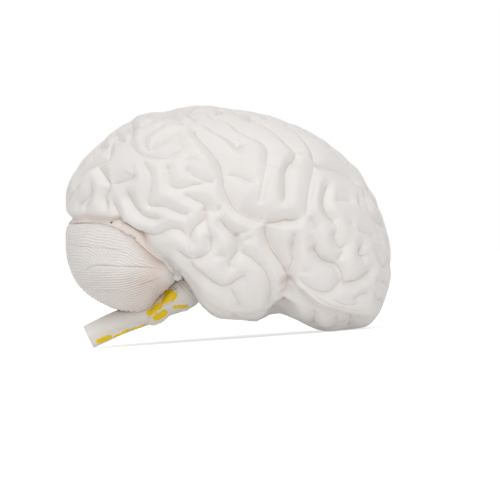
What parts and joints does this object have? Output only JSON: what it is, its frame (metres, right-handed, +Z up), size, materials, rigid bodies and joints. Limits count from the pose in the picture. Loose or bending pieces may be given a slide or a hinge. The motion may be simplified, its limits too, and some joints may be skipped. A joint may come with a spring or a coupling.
{
  "type": "brain anatomy model",
  "caption": "Human brain teaching model split down the middle into two halves on locating pins, each with folded cerebrum, fissured cerebellum and brainstem with nerve roots.",
  "frame": {"origin": "on the surface it stands on, under the middle of its bounding box", "axes": "+X towards the forehead, +Y towards the brain's left side, +Z up; the split between the halves is the plane Y = 0"},
  "size_m": [0.1506, 0.1202, 0.1095],
  "materials": {
    "soft_white": "soft matt plastic",
    "grey_white": "soft matt plastic",
    "pin_ivory": "smooth hard plastic"
  },
  "bodies": {
    "right_half": {"cerebrum_right": "soft_white", "cerebellum_right": "soft_white", "brainstem_right": "grey_white", "front_pin": "pin_ivory", "rear_pin": "pin_ivory", "hind_pin": "pin_ivory"},
    "left_half": {"cerebrum_left": "soft_white", "cerebellum_left": "soft_white", "brainstem_left": "grey_white"}
  },
  "joints": [
    {"name": "left_half_slide", "type": "slide", "parent": "right_half", "child": "left_half", "axis": [0, 1, 0], "range_m": [0, 0.08]}
  ]
}
